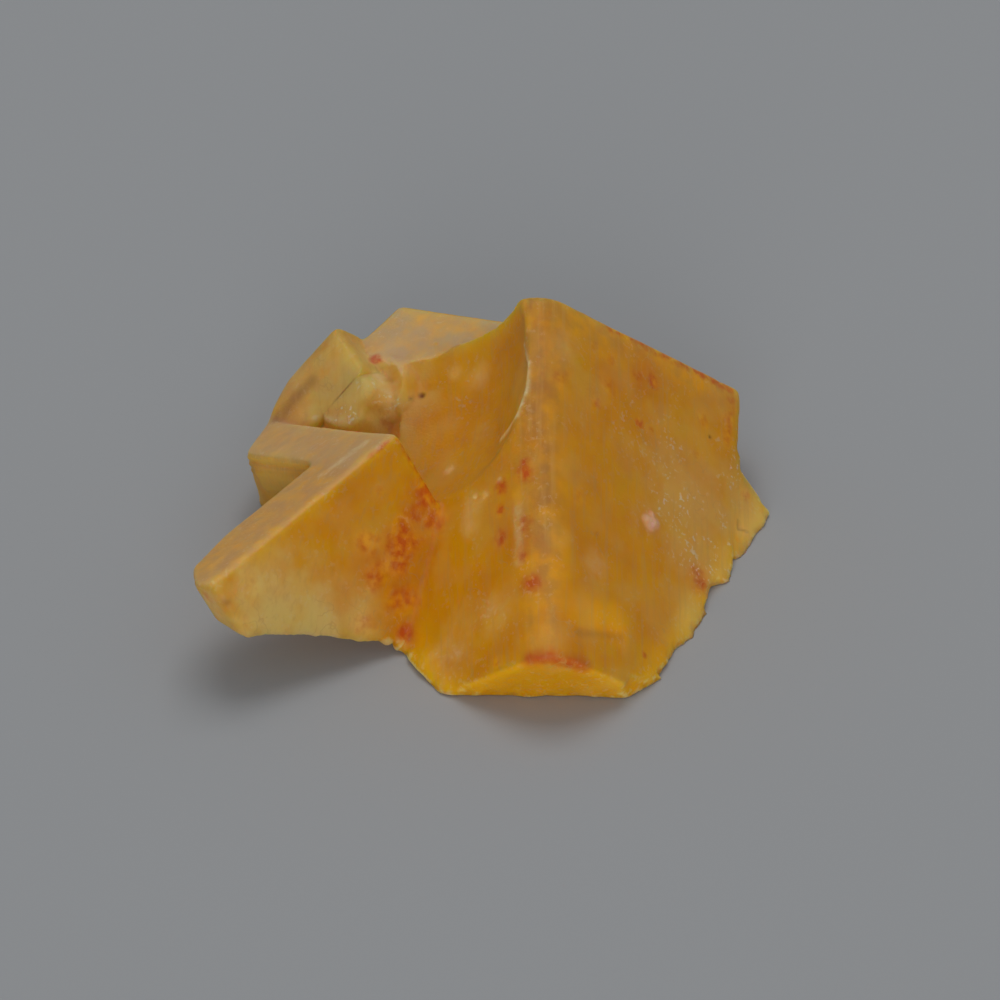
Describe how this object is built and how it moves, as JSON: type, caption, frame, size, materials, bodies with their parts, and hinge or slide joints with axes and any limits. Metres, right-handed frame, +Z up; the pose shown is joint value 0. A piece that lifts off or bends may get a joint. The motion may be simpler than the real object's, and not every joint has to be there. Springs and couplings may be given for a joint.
{
  "type": "fluorite specimen",
  "caption": "Cluster of intergrown amber fluorite cubes with flat, softly etched faces and a level broken underside that it rests on.",
  "frame": {"origin": "bottom centre of the bounding box, on the surface the piece rests on", "axes": "+X to the right and +Y to the back when the rounded edge of the large cube faces the viewer, +Z up"},
  "size_m": [0.0368, 0.0328, 0.017],
  "materials": {
    "fluorite": "clouded amber crystal, satin, etched faces"
  },
  "bodies": {
    "root": {"fluorite_cluster": "fluorite"}
  },
  "joints": []
}
